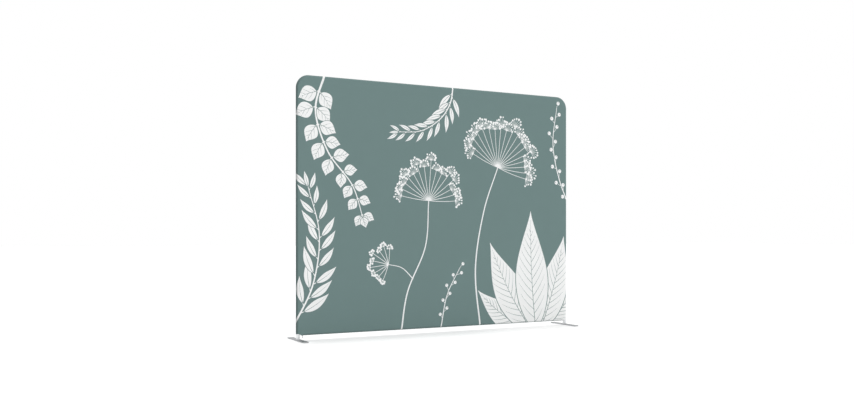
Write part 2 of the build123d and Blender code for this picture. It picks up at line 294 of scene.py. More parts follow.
def smooth(*knots, steps=12):
    """Points along a smooth line through a few knots."""
    ends = [between(knots[1], knots[0], 2), *knots, between(knots[-2], knots[-1], 2)]
    points = []
    for p, q, r, s in zip(ends, ends[1:], ends[2:], ends[3:]):
        for i in range(steps):
            t = i / steps
            points.append(tuple(
                0.5 * (2 * b + (c - a) * t + (2 * a - 5 * b + 4 * c - d) * t**2 + (3 * b - a - 3 * c + d) * t**3)
                for a, b, c, d in zip(p, q, r, s)
            ))
    return points + [knots[-1]]


def direction(line, i):
    """Heading of a line at one of its points, in degrees."""
    (ax, ay), (bx, by) = line[max(i - 1, 0)], line[min(i + 1, len(line) - 1)]
    return math.degrees(math.atan2(by - ay, bx - ax))


def ribbon(line, half_width):
    """Outline round a line whose half width depends on the share of the way along it."""
    left, right = [], []
    for i, (x, y) in enumerate(line):
        width, angle = half_width(i / (len(line) - 1)), math.radians(direction(line, i) + 90)
        dx, dy = width * math.cos(angle), width * math.sin(angle)
        left.append((x + dx, y + dy))
        if width > 1e-5:
            right.append((x - dx, y - dy))
    return left + right[::-1]


def blade(width, fullness):
    """Half width of a leaf along its length. It is broadest near its base if the fullness is under 1."""
    def half_width(t):
        swell = t**fullness
        return width / 2 * math.sin(math.pi * swell) ** (0.85 if swell < 0.5 else 1.25) if 0 < t < 1 else 0.0
    return half_width


def garden(seed):
    """The whole print: hanging branches, flower heads, sprigs of berries and a group of broad leaves."""
    d = Drawing(seed)
    hanging = smooth((-1.02, 2.03), (-1.1, 1.74), (-1.0, 1.43), (-0.8, 1.18), (-0.71, 0.93))
    d.branch(hanging, 0.017, 0.006, 0.17, 0.78, 62, veins=3, turn=14)
    rising = smooth((-1.28, 0.1), (-1.12, 0.42), (-1.07, 0.8), (-1.16, 1.16))
    d.branch(rising, 0.015, 0.005, 0.24, 0.27, 42, opposite=False, turn=22)
    d.umbel(smooth((-0.38, 0), (-0.32, 0.34), (-0.16, 0.7), (-0.13, 1.07)), 0.013, 15, 0.27, 9)
    d.umbel(smooth((0.36, 0), (0.31, 0.5), (0.39, 0.98), (0.53, 1.36)), 0.014, 18, 0.33, 10)
    d.umbel(smooth((-0.27, 0.44), (-0.37, 0.53), (-0.49, 0.56)), 0.008, 9, 0.14, 6)
    drooping = smooth((0.1, 2.04), (0.07, 1.87), (-0.03, 1.73), (-0.2, 1.63), (-0.4, 1.61))
    d.branch(drooping, 0.012, 0.004, 0.17, 0.25, 40, opposite=False, turn=20)
    d.berries(smooth((1.3, 1.0), (1.17, 1.27), (1.1, 1.58), (1.14, 1.9)), 0.011, 13, 0.017)
    d.berries(smooth((-0.02, 0.02), (0.04, 0.3), (0.16, 0.52)), 0.009, 9, 0.014)
    broad = (
        (158, 0.62, 0.21, -26), (38, 0.6, 0.22, 20),
        (128, 0.86, 0.29, -18), (66, 0.84, 0.29, 14), (97, 1.02, 0.33, -8),
    )  # fmt: skip
    for heading, length, width, turn in broad:
        root = (0.93 + 0.1 * math.cos(math.radians(heading)), -0.02)
        d.leaf(root, heading, length, width, turn, 11, 0.78, rim=0.007, line=0.0042, steps=26)
    return d.outlines


# Finishes


class Signal:
    """An output socket of a node, with the arithmetic that adds Math nodes to it."""

    def __init__(self, nodes, socket):
        self.nodes, self.socket = nodes, socket

    def beside(self, output):
        """Another output of the same node."""
        return Signal(self.nodes, self.socket.node.outputs[output])

    def math(self, operation, other=0.0):
        return self.nodes.add("Math", {"operation": operation}, {0: self, 1: other})

    def __add__(self, other):
        return self.math("ADD", other)

    def __mul__(self, other):
        return self.math("MULTIPLY", other)

    __radd__, __rmul__ = __add__, __mul__

    def wave(self, pitch):
        """Smooth ridges from 0 to 1, a pitch apart."""
        return (self * (2 * math.pi / pitch)).math("SINE") * 0.5 + 0.5

    def higher(self, other):
        return self.math("MAXIMUM", other)


class Nodes:
    """A node tree in the making."""

    def __init__(self, tree):
        self.tree = tree

    def add(self, kind, settings, sockets, output=0):
        """Adds a node with its settings, then the values or links of its sockets, and returns an output."""
        node = self.tree.nodes.new("ShaderNode" + kind)
        for name, value in settings.items():
            setattr(node, name, value)
        for name, value in sockets.items():
            if isinstance(value, Signal):
                self.link(value, node.inputs[name])
            else:
                node.inputs[name].default_value = value
        return Signal(self, node.outputs[output])

    def link(self, signal, socket):
        self.tree.links.new(signal.socket, socket)

    def shown_rays(self):
        """1 for rays by which the camera, a mirror or glass sees a surface, 0 for those that light others."""
        camera = self.add("LightPath", {}, {}, "Is Camera Ray")
        return camera.higher(camera.beside("Is Glossy Ray")).higher(camera.beside("Is Transmission Ray"))


class Finish(Nodes):
    """A material in the making. Fixed numbers go on the shader's own sockets, and what varies is fed in."""

    def __init__(self, name, colour, **fixed):
        self.material = bpy.data.materials.new(name)
        self.material.use_nodes = True
        super().__init__(self.material.node_tree)
        self.shader = self.tree.nodes["Principled BSDF"]
        self.colour = tuple(colour)
        for socket, value in {"Base_Color": (*self.colour, 1), **fixed}.items():
            self.shader.inputs[socket.replace("_", " ")].default_value = value
        self.material.diffuse_color = (*self.colour, 1)

    def feed(self, socket, signal):
        self.link(signal, self.shader.inputs[socket])

    def place(self):
        """Position on the object, in metres."""
        return self.add("TexCoord", {}, {}, "Object")

    def noise(self, size, stretch=(1, 1, 1), detail=3.0):
        """Cloudy pattern from 0 to 1 with patches of a size, in metres, longer along a stretched axis."""
        spot = self.add("Mapping", {}, {"Vector": self.place(), "Scale": tuple(1 / s for s in stretch)})
        sockets = {"Vector": spot, "Scale": 1 / size, "Detail": detail, "Roughness": 0.55}
        return self.add("TexNoise", {}, sockets)

    def shade(self, amount, low, high):
        """Feeds the colour, darker or lighter by shares of itself as the amount goes from 0 to 1."""
        ends = [(*(min(c * share, 1) for c in self.colour), 1) for share in (low, high)]
        self.feed("Base Color", self.add("Mix", {"data_type": "RGBA"}, {0: amount, 6: ends[0], 7: ends[1]}, 2))

    def bump(self, height, depth, strength):
        self.feed("Normal", self.add("Bump", {}, {"Height": height, "Distance": depth, "Strength": strength}))


def knit_finish(name, colour, pitch):
    """Printed stretch knit: fine ribs and rows of loops, a trace of unevenness in the dye, and no shine."""
    finish = Finish(name, colour, Sheen_Weight=0.03, Sheen_Roughness=0.5, Specular_IOR_Level=0.25)
    flat = finish.add("SeparateXYZ", {}, {0: finish.add("UVMap", {"uv_map": "flat_cloth"}, {})})
    ribs, rows, cloud = flat.wave(pitch), flat.beside(1).wave(pitch * 0.8), finish.noise(0.16)
    finish.shade(cloud * 0.5 + ribs * rows * 0.5, 0.95, 1.05)
    finish.feed("Roughness", cloud * 0.08 + 0.8)
    finish.bump(ribs * 0.7 + rows * 0.3, 0.00014, 0.6)
    return finish.material


def thread_finish(name, colour):
    """Twisted sewing thread."""
    finish = Finish(name, colour, Specular_IOR_Level=0.3)
    twist = finish.noise(0.0007, (2.5, 1, 1), 1.0)
    finish.shade(twist, 0.82, 1.1)
    finish.feed("Roughness", twist * 0.15 + 0.6)
    finish.bump(twist, 0.0001, 0.6)
    return finish.material


def tape_finish(name, colour):
    """Woven zip tape in a fine twill."""
    finish = Finish(name, colour, Specular_IOR_Level=0.25)
    along = finish.add("SeparateXYZ", {}, {0: finish.place()})
    twill = (along + along.beside(1) * 1.6).wave(0.0009)
    finish.shade(twill * 0.6 + finish.noise(0.03) * 0.4, 0.86, 1.1)
    finish.feed("Roughness", twill * 0.1 + 0.78)
    finish.bump(twill, 0.00012, 0.6)
    return finish.material


def moulded_finish(name, colour, roughness, grain):
    """Moulded plastic or rubber with a faint grain."""
    finish = Finish(name, colour)
    cloud = finish.noise(grain)
    finish.shade(finish.noise(0.02), 0.92, 1.08)
    finish.feed("Roughness", cloud * 0.12 + roughness)
    finish.bump(cloud, 0.00004, 0.4)
    return finish.material


def tube_finish(name, colour):
    """Satin anodised aluminium tube, with faint drawing lines along the post and small rubs."""
    finish = Finish(name, colour, Metallic=1.0, Specular_Tint=(0.5, 0.5, 0.51, 1))
    lines, rubs = finish.noise(0.0006, (1, 1, 60), 2.0), finish.noise(0.02)
    finish.shade(rubs * 0.6 + lines * 0.4, 0.93, 1.04)
    finish.feed("Roughness", lines * 0.1 + rubs * 0.06 + 0.26)
    finish.bump(lines, 0.00003, 0.35)
    return finish.material


def steel_finish(name, colour, roughness, wear=0.05):
    """Bare, blued or plated steel with fine scratches."""
    finish = Finish(name, colour, Metallic=1.0)
    scratches = finish.noise(0.0005, (12, 1, 1), 2.0)
    finish.shade(finish.noise(0.008), 1 - wear, 1 + wear)
    finish.feed("Roughness", scratches * 0.12 + roughness)
    finish.bump(scratches, 0.00002, 0.3)
    return finish.material


def coated_finish(name, colour):
    """Silver powder coat: an even orange-peel skin with fine metal flake, duller where it is handled."""
    finish = Finish(name, colour, Metallic=0.85, Specular_Tint=(0.75, 0.75, 0.76, 1))
    peel, flake, rubs = finish.noise(0.0016, detail=1.0), finish.noise(0.0004, detail=1.0), finish.noise(0.05)
    finish.shade(flake * 0.5 + rubs * 0.5, 0.92, 1.07)
    finish.feed("Roughness", rubs * 0.1 + flake * 0.08 + 0.34)
    finish.bump(peel * 0.8 + flake * 0.2, 0.00006, 0.35)
    return finish.material


# Modelling steps that the pieces share. Each of them leaves edit mode before it starts.


def activate(piece):
    """Leaves edit mode and makes one piece the only selected one."""
    if bpy.context.object and bpy.context.object.mode != "OBJECT":
        bpy.ops.object.mode_set(mode="OBJECT")
    bpy.ops.object.select_all(action="DESELECT")
    if piece:
        piece.select_set(True)
        bpy.context.view_layer.objects.active = piece
    return piece


def start(add, name, **size):
    """Adds a primitive with everything else deselected."""
    activate(None)
    add(**size)
    piece = bpy.context.object
    piece.name = piece.data.name = name
    return piece


def settle(piece):
    """Puts a piece's place, turn and scale into its mesh."""
    activate(piece)
    bpy.ops.object.transform_apply(location=True, rotation=True, scale=True)
    return piece


def block(name, low, high):
    """Box between two corners."""
    low, high = Vector(low), Vector(high)
    centre, size = (low + high) / 2, high - low
    return settle(start(bpy.ops.mesh.primitive_cube_add, name, size=1, location=centre, scale=size))


def rod(name, radius, depth, centre, sides, **more):
    """Cylinder that stands up, unless more settings turn it."""
    return settle(start(
        bpy.ops.mesh.primitive_cylinder_add, name, radius=radius, depth=depth, location=centre,
        vertices=sides, **more,
    ))  # fmt: skip


def taper(name, low_radius, high_radius, depth, centre, sides):
    """Upright cone with its tip cut off."""
    return settle(start(
        bpy.ops.mesh.primitive_cone_add, name, radius1=low_radius, radius2=high_radius, depth=depth,
        location=centre, vertices=sides,
    ))  # fmt: skip


def edit(piece):
    """Goes into edit mode with the whole piece selected."""
    activate(piece)
    bpy.ops.object.mode_set(mode="EDIT")
    bpy.ops.mesh.select_all(action="SELECT")


def pick(piece, kind, test):
    """Goes into edit mode with only those vertices, edges or faces selected that pass the test."""
    edit(piece)
    bpy.ops.mesh.select_mode(type=kind)
    bpy.ops.mesh.select_all(action="DESELECT")
    mesh = bmesh.from_edit_mesh(piece.data)
    for part in {"VERT": mesh.verts, "EDGE": mesh.edges, "FACE": mesh.faces}[kind]:
        part.select_set(bool(test(part)))
    mesh.select_flush_mode()
    bmesh.update_edit_mesh(piece.data)


def extrude(move, scale=1.0, centre=(0, 0, 0)):
    """Extrudes what is selected in edit mode, and scales its new end across the upright axis."""
    bpy.ops.mesh.extrude_region_move(TRANSFORM_OT_translate={"value": move})
    if scale != 1.0:
        bpy.ops.transform.resize(value=(scale, scale, 1), center_override=centre)


def round_corners(piece, radius, segments):
    """Rounds a plate's upright edges."""
    pick(piece, "EDGE", upright)
    bpy.ops.mesh.bevel(offset=radius, segments=segments)
    return activate(piece)


def upright(edge):
    """True for an edge that runs up."""
    a, b = (v.co for v in edge.verts)
    return abs((a - b).normalized().z) > 0.99


def modify(piece, kind, **settings):
    """Adds a modifier and applies it."""
    activate(piece)
    modifier = piece.modifiers.new(kind.title(), kind)
    for name, value in settings.items():
        setattr(modifier, name, value)
    bpy.ops.object.modifier_apply(modifier=modifier.name)
    return piece


def cut(piece, tool, operation="DIFFERENCE"):
    """Cuts a tool out of a piece, or adds it, and removes the tool."""
    modify(piece, "BOOLEAN", object=tool, operation=operation, solver="EXACT")
    bpy.data.objects.remove(tool)
    return piece


def join(name, pieces):
    """Makes several objects one."""
    activate(pieces[0])
    for piece in pieces:
        piece.select_set(True)
    bpy.ops.object.join()
    pieces[0].name = name
    return pieces[0]


def bevel(piece, width, segments, angle):
    """Rounds every edge sharper than an angle."""
    return modify(
        piece, "BEVEL", width=width, segments=segments, limit_method="ANGLE", angle_limit=math.radians(angle)
    )


def shaded(piece, angle):
    """Shades a piece smoothly, apart from edges sharper than an angle."""
    activate(piece)
    bpy.ops.object.shade_smooth_by_angle(angle=math.radians(angle))
    return piece


def soften(piece, width, segments=2, angle=35):
    """Rounds every edge sharper than an angle, and keeps the faces between them flat in the light."""
    return modify(shaded(bevel(piece, width, segments, angle), 50), "WEIGHTED_NORMAL", keep_sharp=True)


def dress(piece, finish, body, slot, *nodes):
    """Gives a piece its finish, the body it moves with and the nodes that it stands for."""
    piece.data.materials.clear()
    piece.data.materials.append(finish)
    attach(piece, body)
    if nodes:
        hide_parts(*nodes)
    return piece


def mesh_piece(name, points, faces):
    """Object made from worked-out points and faces."""
    mesh = bpy.data.meshes.new(name)
    mesh.from_pydata([tuple(p) for p in points], [], faces)
    return linked(name, mesh)


def linked(name, mesh):
    """Object in the scene that shows a mesh."""
    piece = bpy.data.objects.new(name, mesh)
    bpy.context.scene.collection.objects.link(piece)
    return piece


def copies(name, model, places):
    """One object with a copy of a modelled piece at each of the places, which are matrices."""
    sample = np.array([v.co for v in model.data.vertices])
    faces = [tuple(p.vertices) for p in model.data.polygons]
    points = np.concatenate([sample @ np.array(m.to_3x3()).T + np.array(m.translation) for m in places])
    shifted = [tuple(i + k * len(sample) for i in face) for k in range(len(places)) for face in faces]
    bpy.data.objects.remove(model)
    return shaded(mesh_piece(name, points, shifted), 50)


# The cloth: flat coordinates are metres across and up on the print, seen from the side that it is on


def cloth_point(across, up, side, lift=0.0, ripple=0.0):
    """Where a point of the flat cloth lies on the frame, at a height over the cloth's middle."""
    radius = CLOTH_MIDDLE + lift
    hand = math.copysign(1.0, across)
    x, z, over, out = abs(across), up, 0.0, (0.0, 0.0)
    if x > POST_X - BEND_RADIUS and z > TOP_RAIL_Z - BEND_RADIUS:
        away = Vector((x - POST_X + BEND_RADIUS, z - TOP_RAIL_Z + BEND_RADIUS))
        if away.length > BEND_RADIUS:
            over, out = away.length - BEND_RADIUS, tuple(away.normalized())
    elif x > POST_X:
        over, out = x - POST_X, (1.0, 0.0)
    elif z > TOP_RAIL_Z:
        over, out = z - TOP_RAIL_Z, (0.0, 1.0)
    if over > 0:  # round the tube, to the seam at the middle of the rim
        turn = min(over / CLOTH_MIDDLE, math.pi / 2)
        seam = math.degrees(math.pi / 2 - turn)
        radius += 0.0004 * math.exp(-((seam / 5) ** 2)) - 0.0003 * math.exp(-((seam / 1.2) ** 2))
        x += out[0] * (radius * math.sin(turn) - over)
        z += out[1] * (radius * math.sin(turn) - over)
        y = radius * math.cos(turn)
    elif z < HEM_BEND_Z:  # turned under the rail, apart from the edge that rises to the post
        under = min(max((ZIP_END + 0.006 - x) / 0.018, 0.0), 1.0)
        under *= under * (3 - 2 * under)
        turn = under * (HEM_BEND_Z - z) / CLOTH_MIDDLE
        z = HEM_BEND_Z - radius * math.sin(turn) - (1 - under) * (HEM_BEND_Z - z)
        y = radius * math.cos(turn)
    else:
        y = radius + ripple * pull_marks(across, up, x)
    return Vector((-side * hand * x, side * y, z))


def pull_marks(across, up, x):
    """Height of the cloth's slight pull marks, from 0 to about 1: above the zip, and out of the top corners."""
    above = up - HEM_BEND_Z
    edge = min((POST_X - x) / 0.05, (TOP_RAIL_Z - up) / 0.05, above / 0.02, 1.0)
    zip_marks = math.exp(-above / 0.05) * (0.5 + 0.5 * math.sin(across * 57 + 1.7 * math.sin(across * 9)))
    corner = math.hypot(POST_X - x, TOP_RAIL_Z - up)
    fan = math.atan2(TOP_RAIL_Z - up, POST_X - x)
    corner_marks = math.exp(-corner / 0.22) * (0.5 + 0.5 * math.cos(fan * 14))
    broad = 0.5 + 0.25 * math.sin(across * 5.1 + up * 2.3) + 0.25 * math.sin(up * 6.7 - across * 1.9)
    return max(edge, 0.0) * (0.8 * zip_marks + 0.9 * corner_marks + 0.9 * broad)


def offset_line(over, step):
    """Points on the flat cloth along the frame's outline, from the left edge over the top to the right edge."""
    corner = Vector((POST_X - BEND_RADIUS, TOP_RAIL_Z - BEND_RADIUS))
    reach = BEND_RADIUS + over
    rises = np.linspace(OPENING_Z, corner.y, round((corner.y - OPENING_Z) / step) + 1)[:-1]
    turns = np.linspace(0, math.pi / 2, 16)
    runs = np.linspace(corner.x, -corner.x, round(2 * corner.x / step) + 1)[1:-1]
    right = [(POST_X + over, z) for z in rises]
    right += [(corner.x + reach * math.cos(turn), corner.y + reach * math.sin(turn)) for turn in turns]
    left = [(-x, z) for x, z in reversed(right)]
    return (right + [(x, TOP_RAIL_Z + over) for x in runs] + left)[::-1]


def flat_cloth(cell):
    """Edge of the flat cloth, the lines along its bends, and points spread over the rest."""
    middle_end = HEM_END - 0.018
    near_post = np.arange(POST_X - 0.0015, middle_end, -0.0015)
    middle = np.linspace(middle_end, -middle_end, round(4 * middle_end / cell) + 1)
    across = np.concatenate((near_post, middle, -near_post[::-1]))
    slant = [between((POST_X, OPENING_Z), (HEM_END, HEM_Z), k / 16) for k in range(17)]
    hem = [(x, HEM_Z) for x in across if abs(x) < HEM_END - 0.0005]
    quarter = math.pi / 2 * CLOTH_MIDDLE
    edge = offset_line(quarter, cell) + slant + hem + [(-x, z) for x, z in reversed(slant)]
    lines = [offset_line(quarter * turn / 90, cell) for turn in (0, 10, 20, 30, 40, 50, 60, 70, 78, 84, 88)]
    for k in range(8):
        z = HEM_BEND_Z + (HEM_Z - HEM_BEND_Z) * k / 8
        end = POST_X - (POST_X - HEM_END) * max((OPENING_Z - z) / (OPENING_Z - HEM_Z), 0) - 0.0006
        lines.append([(x, z) for x in across if abs(x) < end])
    lines += [[(x, HEM_BEND_Z + rise) for x in middle] for rise in (0.006, 0.013, 0.022, 0.034, 0.05, 0.07)]
    points = []
    for z in np.arange(HEM_BEND_Z + 0.09, TOP_RAIL_Z - 0.006, cell):
        for x in np.arange(-POST_X + 0.012, POST_X - 0.01, cell):
            corner = math.hypot(max(abs(x) - POST_X + BEND_RADIUS, 0), max(z - TOP_RAIL_Z + BEND_RADIUS, 0))
            if corner < BEND_RADIUS - 0.006:
                points.append((x, z))
    return edge, lines, points


def printed_mesh(outlines, cell):
    """Flat cloth cut into triangles along the print's outlines: points, triangles, and which are inked."""
    edge, lines, loose = flat_cloth(cell)
    points, links = list(edge), []
    for line in lines:
        links += [(len(points) + i, len(points) + i + 1) for i in range(len(line) - 1)]
        points += line
    points += loose
    for outline, _ in outlines:
        links += [(len(points) + i, len(points) + (i + 1) % len(outline)) for i in range(len(outline))]
        points += outline
    rim = list(range(len(edge)))
    if sum(a[0] * b[1] - b[0] * a[1] for a, b in zip(edge, edge[1:] + edge[:1])) < 0:
        rim.reverse()
    flat, _, triangles, _, _, faces = delaunay_2d_cdt([Vector(p) for p in points], links, [rim], 1, 1e-6)
    flat = np.array([tuple(p) for p in flat])
    triangles = np.array([t for t, face in zip(triangles, faces) if face])  # those inside the rim
    used, triangles = np.unique(triangles, return_inverse=True)
    flat, triangles = flat[used], triangles.reshape(-1, 3)
    middles = flat[triangles].mean(axis=1)
    inked = np.zeros(len(triangles), bool)
    for outline, ink in outlines:
        shape = np.array(outline)
        near = np.flatnonzero(((middles > shape.min(0)) & (middles < shape.max(0))).all(axis=1))
        if len(near):
            inked[near[inside(middles[near], shape)]] = ink
    return flat, triangles, inked


def inside(points, shape):
    """Which points are inside an outline."""
    x, y = points[:, :1], points[:, 1:]
    (ax, ay), (bx, by) = shape.T, np.roll(shape, -1, axis=0).T
    crosses = (ay > y) != (by > y)
    rise = np.where(by == ay, 1, by - ay)
    return ((crosses & (x < ax + (y - ay) / rise * (bx - ax))).sum(axis=1) % 2).astype(bool)


class DIVIDER_OT_sleeve(bpy.types.Operator):
    """Front and back of the printed sleeve, stretched over the frame"""

    bl_idname = "divider.sleeve"
    bl_label = "Printed sleeve"

    def execute(self, context):
        cloth = context.scene.divider_cloth
        flat, triangles, inked = printed_mesh(garden(cloth.seed), cloth.cell)
        ground = knit_finish("print_ground", cloth.ground, cloth.knit)
        motifs = knit_finish("print_motifs", cloth.ink, cloth.knit)
        inner = knit_finish("print_reverse", cloth.reverse, cloth.knit)
        width, height = (float(size) for size in np.ptp(flat, axis=0))
        for name, side in SIDES.items():
            points = [cloth_point(x, z, side, 0.0, cloth.ripple) for x, z in flat]
            piece = mesh_piece(f"sleeve_{name}_cloth", points, triangles.tolist())
            piece.data.uv_layers.new(name="flat_cloth").data.foreach_set("uv", flat[triangles].reshape(-1))
            for finish in (ground, motifs, inner, inner):  # the inner face takes the second pair
                piece.data.materials.append(finish)
            piece.data.polygons.foreach_set("material_index", inked.astype(np.int32))
            modify(piece, "SOLIDIFY", thickness=cloth.thickness, offset=0, use_rim=True, material_offset=2)
            shaded(piece, 50)
            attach(piece, "frame")
            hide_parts(f"sleeve_{name}")
        return {"FINISHED"}


class DIVIDER_OT_hem(bpy.types.Operator):
    """Stitches along the sleeve's lower edges"""

    bl_idname = "divider.hem"
    bl_label = "Hem stitches"

    def execute(self, context):
        pitch, inset = context.scene.divider_zip.stitch, 0.0034
        finish = thread_finish("hem_thread", [c * 0.8 for c in context.scene.divider_cloth.ground])
        right = [
            (POST_X + 0.022, OPENING_Z + inset), (POST_X + 0.001, OPENING_Z + inset),
            (ZIP_END - 0.005, HEM_Z + inset),
        ]  # fmt: skip
        line = [Vector((-x, z)) for x, z in right] + [Vector(p) for p in reversed(right)]
        spots = []
        for a, b in zip(line, line[1:]):
            count = max(round((b - a).length / pitch), 1)
            spots += [(a.lerp(b, (k + 0.5) / count), (b - a).normalized()) for k in range(count)]
        for name, side in SIDES.items():
            stitch = settle(start(
                bpy.ops.mesh.primitive_uv_sphere_add, "stitch", segments=6, ring_count=4, radius=1,
                scale=(0.0013, 0.00024, 0.0002),
            ))  # fmt: skip
            places = []
            for spot, along in spots:
                foot, top = (cloth_point(*spot, side, lift) for lift in (0.0003, 0.0004))
                ahead = cloth_point(*(spot + along * 0.0005), side, 0.0003) - foot
                out = (top - foot).normalized()
                ahead = (ahead - out * ahead.dot(out)).normalized()
                turn = Matrix((ahead, out.cross(ahead), out)).transposed()
                places.append(Matrix.Translation(foot) @ turn.to_4x4())
            dress(copies(f"hem_stitches_{name}", stitch, places), finish, "frame", "sleeve_fabric")
        return {"FINISHED"}


class DIVIDER_OT_tapes(bpy.types.Operator):
    """Woven tapes of the zip, sewn behind the sleeve's hems"""

    bl_idname = "divider.tapes"
    bl_label = "Zip tapes"

    def execute(self, context):
        finish = tape_finish("zip_tape_weave", context.scene.divider_zip.tape)
        turns = np.radians(np.linspace(2.0, 56.0, 19))
        columns, rows = 122, len(turns)
        for name, side in SIDES.items():
            points = []
            for x in np.linspace(-ZIP_END, ZIP_END, columns):
                for turn in turns:
                    behind = min(max((math.degrees(turn) - 21) / 5, 0), 1)
                    reach = CLOTH_MIDDLE - 0.00078 * behind * behind * (3 - 2 * behind)
                    points.append((x, side * reach * math.sin(turn), HEM_BEND_Z - reach * math.cos(turn)))
            faces = [
                (i * rows + j, (i + 1) * rows + j, (i + 1) * rows + j + 1, i * rows + j + 1)[::side]
                for i in range(columns - 1) for j in range(rows - 1)
            ]  # fmt: skip
            piece = mesh_piece(f"zip_tape_{name}_woven", points, faces)
            modify(piece, "SOLIDIFY", thickness=0.00055, offset=0)
            dress(shaded(piece, 50), finish, "frame", "zip_tape", f"zip_tape_{name}")
        return {"FINISHED"}


class DIVIDER_OT_teeth(bpy.types.Operator):
    """Moulded teeth of the zip and its metal end stops"""

    bl_idname = "divider.teeth"
    bl_label = "Zip teeth and stops"

    def execute(self, context):
        settings = context.scene.divider_zip
        finish = moulded_finish("zip_tooth_plastic", settings.teeth, 0.36, 0.0006)
        for name, side in SIDES.items():
            tooth = self.row(f"zip_teeth_{name}_moulded", *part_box(f"zip_teeth_{name}"), side, settings.pitch)
            dress(tooth, finish, "frame", "zip_teeth", f"zip_teeth_{name}")
        stops = []
        for hand in HANDS.values():
            inner, outer = sorted((hand * stops_high.x, hand * (stops_high.x - 0.004)))
            stop = block("stop", (inner, stops_low.y, stops_low.z), (outer, stops_high.y, stops_high.z))
            pick(stop, "FACE", lambda f: f.normal.z < -0.9)
            bpy.ops.mesh.inset(thickness=0.0008)
            bpy.ops.transform.translate(value=(0, 0, 0.0003))
            stops.append(stop)
        piece = soften(join("zip_stops_pressed", stops), 0.00035, 3)
        dress(piece, steel_finish("zip_stop_metal", settings.metal, 0.3), "frame", "zip_metal", "zip_end_stops")
        return {"FINISHED"}

    def row(self, name, low, high, side, pitch):
        """Row of teeth with their heads towards the slit. The back one is a quarter of a pitch out of step."""
        slit, width = min(abs(low.y), abs(high.y)), pitch * 0.56
        left = low.x + pitch / 2 - width / 2 + (0.0 if side < 0 else pitch * 0.25)
        back, front = sorted((side * (slit + 0.0004), side * (slit + 0.0025)))
        tooth = block(name, (left, back, low.z), (left + width, front, high.z))
        pick(tooth, "FACE", lambda f: f.normal.y * side < -0.9)
        bpy.ops.mesh.inset(thickness=width * 0.16)
        extrude((0, -side * 0.0005, 0))
        pick(tooth, "FACE", lambda f: abs(f.normal.z) > 0.9 and abs(f.calc_center_median().y) > slit + 0.0005)
        bpy.ops.mesh.inset(thickness=width * 0.14, depth=0.0)
        modify(
            tooth, "ARRAY", count=int((high.x - low.x) / pitch), use_relative_offset=False,
            use_constant_offset=True, constant_offset_displace=(pitch, 0, 0),
        )  # fmt: skip
        return shaded(tooth, 30)


class DIVIDER_OT_slider(bpy.types.Operator):
    """Cast slider of the zip, with the bail for its pull"""

    bl_idname = "divider.slider"
    bl_label = "Zip slider"

    def execute(self, context):
        middle, half, top = (slider_low.x + slider_high.x) / 2, slider_high.y, slider_high.z
        under, wall = slider_low.z + 0.0036, 0.0012  # underside of the lower wing, over the bail's height
        wing = block("zip_slider_cast", (slider_low.x, -half, under), (slider_high.x, half, under + wall))
        round_corners(wing, 0.0022, 5)
        pick(wing, "VERT", lambda v: v.co.x > middle + 0.002)
        bpy.ops.transform.resize(value=(1, 0.86, 1), center_override=(middle, 0, under))

        parts, web_low, web_high = [], under + wall * 0.5, top - wall * 0.5
        for y in (-half + 0.0002, half - 0.0012):
            low, high = (middle - 0.0048, y, web_low), (middle + 0.0046, y + 0.001, TEETH_TOP - 0.0002)
            parts.append(block("flange", low, high))
        low, high = (slider_low.x + 0.0002, -0.0034, top - wall), (slider_high.x - 0.0002, 0.0034, top)
        parts.append(round_corners(block("inner_wing", low, high), 0.0018, 5))
        parts.append(block("web", (middle - 0.0034, -0.00033, web_low), (middle + 0.0034, 0.00033, web_high)))

        foot, centre = Vector((middle + 0.003, 0, under + 0.0003)), (middle, 0, under + 0.0003)
        bail = settle(start(bpy.ops.mesh.primitive_plane_add, "bail", size=0.0012, location=foot))
        edit(bail)
        bpy.ops.transform.resize(value=(1, 2, 1), center_override=foot)
        bpy.ops.mesh.spin(steps=16, angle=math.pi, center=centre, axis=(0, -1, 0))
        bpy.ops.mesh.select_all(action="SELECT")
        bpy.ops.mesh.remove_doubles(threshold=1e-6)
        bpy.ops.mesh.normals_make_consistent()
        bpy.ops.transform.resize(value=(1.16, 1, 1), center_override=centre)
        for part in (*parts, bail):
            cut(wing, part, "UNION")
        finish = steel_finish("zip_slider_metal", context.scene.divider_zip.metal, 0.27)
        dress(soften(wing, 0.00018), finish, "zip_slider", "zip_metal", "zip_slider")
        return {"FINISHED"}


class DIVIDER_OT_pull(bpy.types.Operator):
    """Flat pull on the slider's bail"""

    bl_idname = "divider.pull"
    bl_label = "Zip pull"

    def execute(self, context):
        middle, half, bar, thick = (pull_low.x + pull_high.x) / 2, pull_high.y, 0.0008, 0.0007
        axis = pull_high.z - bar
        pull = block("zip_pull_pressed", (middle - thick, -half, pull_low.z), (middle + thick, half, axis))
        pick(pull, "EDGE", lambda e: abs(e.verts[0].co.x - e.verts[1].co.x) > thick)
        bpy.ops.mesh.bevel(offset=0.0019, segments=6)
        pick(pull, "FACE", lambda f: abs(f.normal.x) > 0.9)
        bpy.ops.mesh.inset(thickness=0.0008, use_individual=True)
        bpy.ops.transform.resize(value=(0.72, 1, 1), center_override=(middle, 0, axis))
        low, high = (middle - 0.003, -0.0016, axis - 0.0054), (middle + 0.003, 0.0016, axis + 0.002)
        cut(pull, block("eye", low, high))
        cut(pull, rod("bar", bar, 2 * half, (middle, 0, axis), 20, rotation=(math.pi / 2, 0, 0)), "UNION")
        finish = steel_finish("zip_pull_metal", context.scene.divider_zip.metal, 0.27)
        dress(soften(pull, 0.0002), finish, "zip_pull", "zip_metal", "zip_pull")
        return {"FINISHED"}


